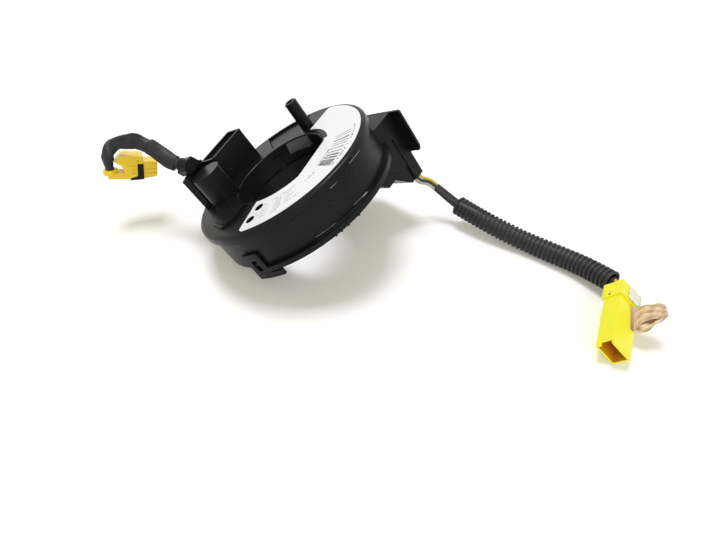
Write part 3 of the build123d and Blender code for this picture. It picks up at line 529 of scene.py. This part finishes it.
def onLug(place):
    z = lugSizes
    x, y, height = place / mm
    return (math.hypot(x, y) < z["radius"] and z["low"] < height < z["high"]
            and z["start"] < math.degrees(math.atan2(y, x)) < z["end"])


for name in ("rotor_cap", "header_insert", "wire_clamp"):
    softened(name, "rotor", made["rotorPlastic"], roundSizes["rotor"],
             (made["lugPaintedSheen"], onLug))
squibPieces = [softened(name, "rotor", made["yellowPlastic"], roundSizes["squib"])
               for name in ("squib_cover", "squib_plug", "squib_lock")]
squibPieces.append(softened("squib_band", "rotor", made["rotorPlastic"],
                            roundSizes["squib"]))

# front is the middle of the connector's mouth, and axis points out of it
connectorSizes = {
    "front": (67.83, -130.74, -96.01), "axis": (-0.7317, -0.6777, 0.0728),
    "side": (0.6656, -0.6874, 0.2906), "width": 8.8, "height": 13.5, "wall": 0.9,
    "orangeFrom": 0.8, "orangeTo": 13.2, "orangeSlack": 0.1,
    # a small hole that is too fine for the mesh, painted as a dark spot of shade: length back,
    # across and up
    "hole": (31.9, -1.3, 7.6), "holeRadius": 0.7, "holeCore": 0.8,
    "holeShadeTone": (0.05, 0.045, 0.005),
}


def connectorFrame():
    z = connectorSizes
    axis, side = Vector(z["axis"]).normalized(), Vector(z["side"]).normalized()
    return Vector(z["front"]), axis, side, axis.cross(side)


def paintHoleShade(material):
    # painted shade: a dark spot where the small hole is
    z = connectorSizes
    front, axis, side, over = connectorFrame()
    back, across, up = z["hole"]
    place = (front - axis * back + side * across + over * up) * mm
    nodeSet, links = material.node_tree.nodes, material.node_tree.links
    apart = vectorNode(nodeSet, links, "DISTANCE", objectPlace(nodeSet), place)
    radius = z["holeRadius"] * mm
    inside = rangeNode(nodeSet, links, apart, radius, radius * z["holeCore"])
    overlay(material, inside, z["holeShadeTone"])


def inMouth(place):
    z = connectorSizes
    front, axis, side, over = connectorFrame()
    rel = place / mm - front
    return (z["orangeFrom"] < -rel.dot(axis) < z["orangeTo"]
            and abs(rel.dot(side)) < z["width"] / 2 - z["wall"] + z["orangeSlack"]
            and abs(rel.dot(over)) < z["height"] / 2 - z["wall"] + z["orangeSlack"])


paintHoleShade(made["limeYellow"])
connectorShell = softened("airbag_connector", "stator", made["limeYellow"],
                          roundSizes["connector"], (made["orangePlastic"], inMouth))
print("materials done")


# pigtail of the driver's lead: a flat sleeve that bends over to the squib plug
pigtailSizes = {
    "route": [(-42.5, 30.0, 50.1), (-45.8, 33.5, 53.1), (-47.3, 37.0, 58.2),
              (-49.7, 41.0, 64.1), (-52.5, 44.0, 68.7), (-57.3, 47.5, 73.0),
              (-64.7, 51.0, 77.2), (-73.4, 53.0, 75.0), (-77.7, 53.0, 67.1)],
    "diameter": 0.0066, "half": 3.7, "thick": 2.2, "squareness": 0.8,
    "step": 0.45, "around": 48,
    # rises along it: height, then place and width as shares of its length
    "neck": (1.1, 0.0, 0.07), "wideBend": (0.5, 0.76, 0.07), "thickBend": (0.4, 0.72, 0.06),
    "flap": (1.9, 0.5, 0.07), "flapAlong": (1.0, 0.5, 0.1), "flapAcross": (0.5, -4, 1.5),
    # folds: depth and number, and where they start if that is fixed
    "sideFolds": (0.7, 4.6, 0.2), "faceFolds": (0.9, 6.3, 0.4),
    "slantFolds": (0.9, 3.7), "slantSide": 0.5, "fineFolds": (0.18, 11),
    "twist": (0.3, 8.0, 0.6),
}
# the loose cuff at its root: from and to are shares of the sleeve's length, and the rest
# are shares of the cuff's
cuffSizes = {
    "from": 0.055, "to": 0.37, "half": 4.3, "thick": 2.35,
    "folds": (0.5, 1.3), "lip": (0.5, 1.0, 0.15), "flap": (0.8, 0.95, 0.2),
    "wave": (0.35, 4, 0), "twist": (0.25, 7.0, 0.6),
}


def squarish(angle):
    # a point on a circle that is pressed towards a square
    power = pigtailSizes["squareness"]
    x, y = math.cos(angle), math.sin(angle)
    return math.copysign(abs(x) ** power, x), math.copysign(abs(y) ** power, y)


def twisted(x, y, twist):
    return x * math.cos(twist) - y * math.sin(twist), x * math.sin(twist) + y * math.cos(twist)


def pigtailOutline(share, angle):
    # the sleeve lies flat, with a flap under the bend and folds that run slantwise
    z = pigtailSizes
    x, y = squarish(angle)
    half = z["half"] - bump(share, *z["neck"]) + bump(share, *z["wideBend"])
    half += folds(share, *z["sideFolds"])
    thick = z["thick"] + folds(share, *z["faceFolds"]) + bump(share, *z["thickBend"])
    flap = bump(share, *z["flap"]) if x < 0 else 0.0
    slant = folds(share, *z["slantFolds"], angle / math.pi)
    slant += folds(share, *z["fineFolds"], -angle / math.pi)
    x = x * (half + flap + z["slantSide"] * slant)
    y = y * (thick + slant) * (1 - bump(x, *z["flapAcross"]) * bump(share, *z["flapAlong"]))
    return twisted(x, y, wave(share, *z["twist"]))


def cuffOutline(share, angle):
    z = cuffSizes
    x, y = squarish(angle)
    flap = bump(share, *z["flap"]) if x < 0 else 0
    x *= z["half"] + wave(share, *z["wave"]) + flap
    y *= z["thick"] + (folds(share, *z["folds"], angle / math.pi) + bump(share, *z["lip"]))
    return twisted(x, y, wave(share * z["to"], *z["twist"]))


def makePigtail():
    z = pigtailSizes
    centre, length = splinePoints(z["route"], z["step"])
    part = centre[round(len(centre) * cuffSizes["from"]):round(len(centre) * cuffSizes["to"])]
    sleeve, cuff = (
        addPiece(name, sweptMesh(name, line, cameraSizes["down"], z["around"], outline),
                 made["sleeveVinyl"], "rotor")
        for name, line, outline in (("pigtail", centre, pigtailOutline),
                                    ("pigtailCuff", part, cuffOutline)))
    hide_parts("pigtail_sleeve")
    print("pigtail", round(length, 4))


# harness: a taped bundle that runs through a split corrugated conduit
harnessSizes = {
    "route": [(67.0, 0.0, -45.1), (68.9, -4.0, -52.6), (71.2, -9.0, -60.4),
              (74.9, -21.7, -68.0), (80.3, -34.0, -77.6), (86.1, -45.3, -86.1),
              (91.3, -57.8, -92.2), (96.2, -70.3, -97.4), (98.7, -82.4, -100.3),
              (100.0, -92.5, -102.2)],
    "conduit": [(71.2, -9.0, -60.4), (74.9, -21.7, -68.0), (80.3, -34.0, -77.6),
                (86.1, -45.3, -86.1), (91.3, -57.8, -92.2), (96.2, -70.3, -97.4),
                (98.7, -82.4, -100.3), (99.8, -91.0, -101.9)],
    "firstSide": (0.47, -0.22, 0.85), "diameter": 0.006, "radius": 2.9,
    "step": 0.7, "around": 36,
    # the wires under the tape: their number and turn, and how they fade, narrow and lobe
    "wires": 3, "wiresTurn": 1, "wiresFade": 9, "wiresNarrow": 0.55, "wiresLobe": 0.16,
    "tapeEdge": 0.10, "tapeTurns": 20,
    "conduitDiameter": 0.0116, "wallOuter": 4.95, "wallInner": 4.4, "conduitStep": 1.0,
    "conduitAround": 56, "ribPitch": 2.58, "ribRadius": 5.2, "ribWide": 1.5, "ribHigh": 1.2,
    "ribFillet": 0.38, "filletSteps": 3, "slit": 26.0, "slitAt": -66.0, "slitTurn": -4.5,
}


def bundleOutline(share, angle):
    # the three wires show through the tape at the top, and the turns of tape wind round
    z = harnessSizes
    start = math.exp(-share * z["wiresFade"])
    radius = z["radius"] - z["wiresNarrow"] * start
    radius += z["wiresLobe"] * start * math.cos(z["wires"] * angle + z["wiresTurn"])
    turn = share * z["tapeTurns"] + angle / (2 * math.pi)
    radius += z["tapeEdge"] * ((turn % 1) - 0.5)
    return radius * math.cos(angle), radius * math.sin(angle)


def ribTree():
    # rings set at one pitch along a curve
    tree = bpy.data.node_groups.new("ribs", "GeometryNodeTree")
    face = tree.interface
    face.new_socket("Geometry", in_out="INPUT", socket_type="NodeSocketGeometry")
    for name in ("Pitch", "Ring radius", "Rib width", "Rib height", "Fillet", "Slit",
                 "Slit at", "Slit turn"):
        face.new_socket(name, in_out="INPUT", socket_type="NodeSocketFloat")
    face.new_socket("Rib material", in_out="INPUT", socket_type="NodeSocketMaterial")
    face.new_socket("Geometry", in_out="OUTPUT", socket_type="NodeSocketGeometry")
    new, link = tree.nodes.new, tree.links.new
    given, result = new("NodeGroupInput"), new("NodeGroupOutput")
    places = new("GeometryNodeCurveToPoints")
    places.mode = "LENGTH"
    link(given.outputs["Geometry"], places.inputs["Curve"])
    link(given.outputs["Pitch"], places.inputs["Length"])
    # each ring is open where the conduit is slit
    ring = new("GeometryNodeCurveArc")
    ring.inputs["Resolution"].default_value = harnessSizes["conduitAround"]
    link(given.outputs["Ring radius"], ring.inputs["Radius"])
    sweep = new("ShaderNodeMath")
    sweep.operation = "SUBTRACT"
    sweep.inputs[0].default_value = 2 * math.pi
    link(given.outputs["Slit"], sweep.inputs[1])
    link(sweep.outputs[0], ring.inputs["Sweep Angle"])
    index = new("GeometryNodeInputIndex")
    turn = new("ShaderNodeMath")
    turn.operation = "MULTIPLY_ADD"
    link(index.outputs[0], turn.inputs[0])
    link(given.outputs["Slit turn"], turn.inputs[1])
    link(given.outputs["Slit at"], turn.inputs[2])
    about = new("FunctionNodeAxisAngleToRotation")
    about.inputs["Axis"].default_value = (0, 0, 1)
    link(turn.outputs[0], about.inputs["Angle"])
    turned = new("FunctionNodeRotateRotation")
    turned.rotation_space = "LOCAL"
    link(places.outputs["Rotation"], turned.inputs["Rotation"])
    link(about.outputs["Rotation"], turned.inputs["Rotate By"])
    box = new("GeometryNodeCurvePrimitiveQuadrilateral")
    link(given.outputs["Rib height"], box.inputs["Width"])
    link(given.outputs["Rib width"], box.inputs["Height"])
    rounded = new("GeometryNodeFilletCurve")
    rounded.mode = "POLY"
    rounded.inputs["Count"].default_value = harnessSizes["filletSteps"]
    link(box.outputs["Curve"], rounded.inputs["Curve"])
    link(given.outputs["Fillet"], rounded.inputs["Radius"])
    rib = new("GeometryNodeCurveToMesh")
    link(ring.outputs["Curve"], rib.inputs["Curve"])
    link(rounded.outputs["Curve"], rib.inputs["Profile Curve"])
    rib.inputs["Fill Caps"].default_value = True
    copies = new("GeometryNodeInstanceOnPoints")
    link(places.outputs["Points"], copies.inputs["Points"])
    link(turned.outputs["Rotation"], copies.inputs["Rotation"])
    link(rib.outputs["Mesh"], copies.inputs["Instance"])
    real = new("GeometryNodeRealizeInstances")
    link(copies.outputs["Instances"], real.inputs["Geometry"])
    paint = new("GeometryNodeSetMaterial")
    link(real.outputs["Geometry"], paint.inputs["Geometry"])
    link(given.outputs["Rib material"], paint.inputs["Material"])
    link(paint.outputs["Geometry"], result.inputs["Geometry"])
    return tree


def nurbsCurve(name, points):
    data = bpy.data.curves.new(name, "CURVE")
    data.dimensions = "3D"
    spline = data.splines.new("NURBS")
    spline.points.add(len(points) - 1)
    for place, point in zip(spline.points, points):
        place.co = (*(Vector(point) * mm), 1)
    spline.order_u = 3
    spline.use_endpoint_u = True
    spline.resolution_u = curveSteps
    curve = bpy.data.objects.new(name, data)
    scene.collection.objects.link(curve)
    return curve


def ribMesh(material):
    z = harnessSizes
    curve = nurbsCurve("ribLine", z["conduit"])
    tree = ribTree()
    maker = curve.modifiers.new("ribs", "NODES")
    maker.node_group = tree
    values = {"Pitch": z["ribPitch"] * mm, "Ring radius": z["ribRadius"] * mm,
              "Rib width": z["ribWide"] * mm, "Rib height": z["ribHigh"] * mm,
              "Fillet": z["ribFillet"] * mm, "Rib material": material,
              "Slit": math.radians(z["slit"]), "Slit at": math.radians(z["slitAt"]),
              "Slit turn": math.radians(z["slitTurn"])}
    for item in tree.interface.items_tree:
        if item.in_out == "INPUT" and item.name in values:
            maker[item.identifier] = values[item.name]
    mesh = finishedMesh(curve)
    curve.modifiers.remove(maker)
    bpy.data.objects.remove(curve)
    return mesh


def makeHarness():
    z = harnessSizes
    centre, length = splinePoints(z["route"], z["step"])
    swept = sweptMesh("bundle", centre, z["firstSide"], z["around"], bundleOutline)
    bundle = addPiece("bundle", swept, made["tapeVinyl"], "stator")
    line, conduitLength = splinePoints(z["conduit"], z["conduitStep"])
    wall = pipeMesh("conduitWall", line, z["firstSide"], z["conduitAround"], z["wallOuter"],
                    z["wallInner"])
    ribbed = joinMeshes("conduitTube", [wall, ribMesh(made["conduitBlack"])])
    tube = addPiece("conduitTube", ribbed, made["conduitBlack"], "stator")
    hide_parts("harness_wrap")
    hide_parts("conduit")
    print("harness", round(length, 4), round(conduitLength, 4))


# flag of masking tape: stuck to the connector's side, folded over and crumpled
tapeSizes = {
    "width": 0.015, "thick": 0.00016, "steps": 60, "rows": 48, "stuckSteps": 6,
    # the flag's root: back from the connector's mouth, and out from its middle
    "back": 24.2, "out": 4.4,
    # places from there in millimetres, along the connector's side, its axis and across both
    "rootTop": (0.25, -6.5, -4.0), "rootLow": (0.25, 7.0, -6.4),
    "foldTop": (14.6, -5.2, -6.0), "foldLow": (15.6, 0.6, -8.0),
    "stuckTop": (0.25, -6.5, -1.4), "stuckLow": (0.25, 7.4, -3.6),
    # the two layers: how far they belly out and stand apart, their folds' shifts, their painted
    # shade
    "upper": {"belly": -1.8, "apart": 1.1, "bend": 0, "shift": 0.3, "gap": 0, "shadeShare": 0.6},
    "lower": {"belly": 2.3, "apart": -1.1, "bend": 2, "shift": 0.0, "gap": -0.02, "shadeShare": 0.9},
    "swell": 0.6, "depth": (0.12, 1.15, 0.7), "wideFolds": 2.6, "wideBend": (0.35, 4),
    "fineFolds": 5.1, "fineSlant": 1.7, "fineDepth": 0.4, "ripple": (0.45, 17, 4),
    # painted shade: how deep and how sharp it is in the creases, its share on the stuck end,
    # and its tone
    "lean": 0.25, "shadeDepth": 0.9, "shadePower": 1.5, "stuckShade": (0.35, 0.5),
    "shadeTone": (0.33, 0.17, 0.08),
    # the end that stayed on the collar: how far out, its length and its height
    "stubOut": 1.35, "stubLength": (-15.2, -7.4), "stubHeight": (-6.9, 2.4),
    "stubSteps": (12, 8), "stubWave": (0.12, 1.7), "stubEdge": (0.5, 1.3),
    "paleOut": (1.0, 1.7), "paleTo": -7.2,
}


def paintCreaseShade(material):
    # painted shade: the paper is darker in its creases, most on the lower layer and down the
    # stuck end
    nodeSet = material.node_tree.nodes
    paintedShade = nodeSet.new("ShaderNodeAttribute")
    paintedShade.attribute_name = "paintedShade"
    overlay(material, paintedShade.outputs["Fac"], tapeSizes["shadeTone"])


def makeTape():
    z = tapeSizes
    front, axis, side, over = connectorFrame()
    root = front * mm - axis * z["back"] * mm + side * z["out"] * mm
    points, faces, shades = [], [], []

    def at(offsets):
        return root + (side * offsets[0] + axis * offsets[1] + over * offsets[2]) * mm

    def between(name, v):
        return at(z[name + "Top"]).lerp(at(z[name + "Low"]), v)

    def layer(u, v, half):
        # u runs from the connector to the fold, v down across the tape
        place = between("root", v).lerp(between("fold", v), u)
        swell = math.sin(math.pi * min(1.0, u ** z["swell"])) ** 2
        place += axis * half["belly"] * v * swell * mm
        place += over * half["apart"] * math.sin(math.pi * u) * mm
        least, more, power = z["depth"]
        deep = least + more * u ** power
        bend, turns = z["wideBend"]
        crease = folds(v, deep, z["wideFolds"], wave(u, bend, turns, half["bend"]))
        crease += folds(v, z["fineDepth"] * deep, z["fineFolds"],
                        u * z["fineSlant"] + half["shift"])
        high, along, across = z["ripple"]
        crease += high * u * math.sin(u * along + v * across)
        # painted shade, deeper in the hollows of the folds
        low = max(0.0, min(1.0, 0.5 - z["shadeDepth"] * crease / deep)) ** z["shadePower"]
        shades.append(low * half["shadeShare"])
        return place + (over + side * z["lean"]) * crease * mm + over * half["gap"] * mm

    def strip(lines):
        start, row = len(points), len(lines[0])
        for line in lines:
            points.extend(line)
        for i in range(len(lines) - 1):
            for j in range(row - 1):
                a = start + i * row + j
                faces.append((a, a + 1, a + row + 1, a + row))

    downs = [j / z["rows"] for j in range(z["rows"] + 1)]
    lines = [[between("stuck", v).lerp(between("root", v), i / z["stuckSteps"]) for v in downs]
             for i in range(z["stuckSteps"])]
    # painted shade on the stuck end, deeper towards its bottom
    least, more = z["stuckShade"]
    shades += [least + more * v for i in range(z["stuckSteps"]) for v in downs]
    lines += [[layer(i / z["steps"], v, z["upper"]) for v in downs]
              for i in range(z["steps"] + 1)]
    lines += [[layer(1 - i / z["steps"], v, z["lower"]) for v in downs]
              for i in range(1, z["steps"] + 1)]
    strip(lines)

    def stubPoint(i, j):
        # i counts up the collar, j along it
        (back, ahead), (low, high) = z["stubLength"], z["stubHeight"]
        (deep, turn), (rough, spacing) = z["stubWave"], z["stubEdge"]
        along, up = z["stubSteps"]
        return at((z["stubOut"] + deep * math.sin(i * turn + j),
                   back + (ahead - back) * j / along,
                   low + (high - low + rough * math.sin(j * spacing)) * i / up))

    along, up = z["stubSteps"]
    strip([[stubPoint(i, j) for j in range(along + 1)] for i in range(up + 1)])
    shades += [0.0] * (len(points) - len(shades))
    mesh = makeMesh("maskingTape", points, faces)
    mesh.attributes.new("paintedShade", "FLOAT", "POINT").data.foreach_set("value", shades)
    tape = addPiece("maskingTape", mesh, made["maskingPaper"])
    solid = tape.modifiers.new("thick", "SOLIDIFY")
    solid.thickness = z["thick"]
    solid.offset = 0.0
    thickMesh = finishedMesh(tape)
    tape.modifiers.remove(solid)
    tape.data = thickMesh
    thickMesh.shade_smooth()
    thickMesh.materials.append(made["palePaper"])
    near, far = z["paleOut"]
    for face in thickMesh.polygons:
        rel = face.center - root
        if near * mm < rel.dot(side) < far * mm and rel.dot(axis) < z["paleTo"] * mm:
            face.material_index = 1
    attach(tape, "stator")
    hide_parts("tape_flag")


paintCreaseShade(made["maskingPaper"])
makePigtail()
makeHarness()
makeTape()


# floor, backdrop and lamps
floorSizes = {"up": (0.471449, -0.220297, 0.853935), "height": -0.029, "half": 3.0,
              "paper": (0.9, 0.9, 0.9), "roughness": 0.7, "lift": (0.17, 0.16, 0.135),
              "far": (1, 1, 1), "fade": (0.35, 1.0)}
up = Vector(floorSizes["up"]).normalized()


def seenRays(nodeSet, links):
    # 1 for camera, glossy and transmission rays
    path = nodeSet.new("ShaderNodeLightPath")
    value = path.outputs["Is Camera Ray"]
    for other in ("Is Glossy Ray", "Is Transmission Ray"):
        value = mathNode(nodeSet, links, "MAXIMUM", value, path.outputs[other])
    return value


def blended(nodeSet, links, share, first, second):
    node = nodeSet.new("ShaderNodeMixShader")
    for slot, value in zip(node.inputs, (share, first, second)):
        links.new(value, slot)
    return node.outputs["Shader"]


def floorPaper():
    z = floorSizes
    material, nodeSet, links, shader = newMaterial("floorPaper")
    shader.inputs["Base Color"].default_value = (*z["paper"], 1)
    shader.inputs["Roughness"].default_value = z["roughness"]
    # what the camera, a gloss or glass sees of it is lifted to white, and its shadows stay;
    # farther out, where the lamp fades, the lift grows
    apart = vectorNode(nodeSet, links, "LENGTH", objectPlace(nodeSet))
    tone = mixNode(nodeSet, links, rangeNode(nodeSet, links, apart, *z["fade"]),
                   z["lift"], z["far"])
    lift = addNode(nodeSet, "ShaderNodeEmission", Strength=1.0)
    links.new(tone, lift.inputs["Color"])
    none = addNode(nodeSet, "ShaderNodeEmission", Strength=0.0)
    lifted = blended(nodeSet, links, seenRays(nodeSet, links), none.outputs["Emission"],
                     lift.outputs["Emission"])
    paper = nodeSet.new("ShaderNodeAddShader")
    links.new(shader.outputs["BSDF"], paper.inputs[0])
    links.new(lifted, paper.inputs[1])
    # from below it is clear
    clear = nodeSet.new("ShaderNodeBsdfTransparent")
    behind = nodeSet.new("ShaderNodeNewGeometry").outputs["Backfacing"]
    surface = blended(nodeSet, links, behind, paper.outputs["Shader"], clear.outputs["BSDF"])
    links.new(surface, nodeSet["Material Output"].inputs["Surface"])
    return material


def makeFloor():
    z = floorSizes
    side = up.cross(Vector((0, 1, 0))).normalized()
    across = up.cross(side)
    corners = [up * z["height"] + side * i * z["half"] + across * j * z["half"]
               for i, j in ((-1, -1), (1, -1), (1, 1), (-1, 1))]
    mesh = makeMesh("floor", corners, [(0, 1, 2, 3)])
    if (mesh.polygons[0].normal - up).length > 1:
        mesh.flip_normals()
    mesh.materials.append(floorPaper())
    floor = bpy.data.objects.new("floor", mesh)
    scene.collection.objects.link(floor)


worldSizes = {"light": (0.43, 0.41, 0.35), "seen": (1.0, 1.0, 1.0)}


def makeWorld():
    # a soft level lights the part, and a white one is seen behind it
    world = bpy.data.worlds.new("studio")
    scene.world = world
    world.use_nodes = True
    nodeSet, links = world.node_tree.nodes, world.node_tree.links
    level = mixNode(nodeSet, links, seenRays(nodeSet, links), worldSizes["light"],
                    worldSizes["seen"])
    links.new(level, nodeSet["Background"].inputs["Color"])


# a lamp's place is moved away from the floor by above, in metres
lampSizes = {
    "keyLamp": {"above": 1.6, "place": (-0.05, 0.24, 0.06), "aim": (0, 0, 0),
                "size": 0.55, "watts": 14.5, "colour": (0.97, 1.0, 1.08)},
    "sideLamp": {"above": 0.0, "place": (0.12, -0.9, 0.35), "aim": (0.02, 0, -0.03),
                 "size": 0.7, "watts": 2.6, "colour": (1, 1, 1)},
}


def makeLamp(name):
    z = lampSizes[name]
    data = bpy.data.lights.new(name, "AREA")
    data.size = z["size"]
    data.energy = z["watts"]
    data.color = z["colour"]
    lamp = bpy.data.objects.new(name, data)
    scene.collection.objects.link(lamp)
    place = up * z["above"] + Vector(z["place"])
    lamp.location = place
    lamp.rotation_euler = (Vector(z["aim"]) - place).to_track_quat("-Z", "Y").to_euler()


makeFloor()
makeWorld()
for name in lampSizes:
    makeLamp(name)
print("stage done")
